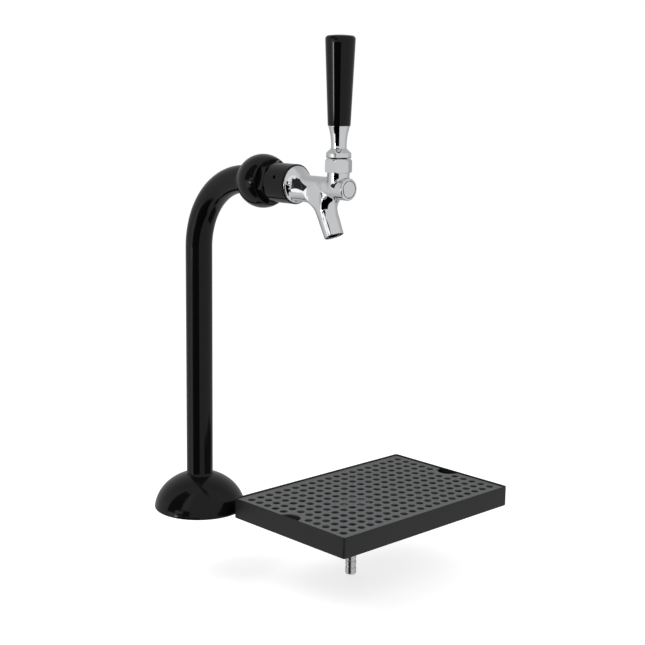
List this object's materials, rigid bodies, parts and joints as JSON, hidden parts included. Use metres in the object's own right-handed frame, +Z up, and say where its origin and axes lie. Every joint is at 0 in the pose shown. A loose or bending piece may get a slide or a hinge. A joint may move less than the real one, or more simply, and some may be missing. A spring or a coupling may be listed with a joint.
{
  "type": "draft beer tower",
  "caption": "Bent black column on a domed foot with one chromed beer faucet and lever handle, and a separate perforated drip tray with a drain.",
  "frame": {"origin": "on the counter, on the axis of the upright column, at the centre of the foot's four screws", "axes": "+Z up along the column, the faucet points to -Y, +X to the drip tray"},
  "size_m": [0.3233, 0.29, 0.6194],
  "materials": {
    "black_coat": "satin",
    "chrome_plate": "polished",
    "stainless_steel": "satin",
    "rubber": "matte",
    "brass": "satin",
    "line_plastic": "satin",
    "seat_plastic": "matte",
    "handle_plastic": "satin",
    "tray_coat": "matte"
  },
  "bodies": {
    "tower": {"base_dome": "black_coat", "mounting_flange": "stainless_steel", "flange_gasket": "rubber", "column_grub_screws": "stainless_steel", "column": "black_coat", "beer_line": "line_plastic", "line_clamp": "stainless_steel", "line_joiner": "stainless_steel", "ball_housing": "black_coat", "shank": "stainless_steel", "shank_nut": "black_coat", "coupling_collar": "black_coat", "coupling_gasket": "rubber", "faucet_body": "chrome_plate", "front_plug": "chrome_plate", "plug_seal": "rubber", "ball_washer": "seat_plastic", "friction_washer": "brass", "bonnet_nut": "chrome_plate"},
    "lever": {"lever": "stainless_steel", "lever_collar": "chrome_plate", "handle_ferrule": "chrome_plate", "handle_grip": "handle_plastic"},
    "valve": {"valve_shaft": "stainless_steel", "seat_washer": "rubber", "washer_nut": "brass"},
    "tray": {"tray_pan": "tray_coat", "drain_fitting": "stainless_steel", "drain_gasket": "rubber", "drain_nut": "stainless_steel"},
    "grille": {"grille": "tray_coat"}
  },
  "joints": [
    {"name": "lever_tilt", "type": "hinge", "parent": "tower", "child": "lever", "pos_m": [0, -0.2217, 0.405], "axis": [1, 0, 0], "range_deg": [0, 24]},
    {"name": "shaft_slide", "type": "slide", "parent": "tower", "child": "valve", "axis": [0, 1, 0], "range_m": [0, 0.0082]},
    {"name": "tray_lift", "type": "slide", "parent": "tower", "child": "tray", "axis": [0, 0, 1], "range_m": [0, 0.1]},
    {"name": "grille_lift", "type": "slide", "parent": "tray", "child": "grille", "axis": [0, 0, 1], "range_m": [0, 0.05]}
  ],
  "couplings": [
    {"joint": "shaft_slide", "follows": "lever_tilt", "m_per_rad": 0.01942}
  ]
}
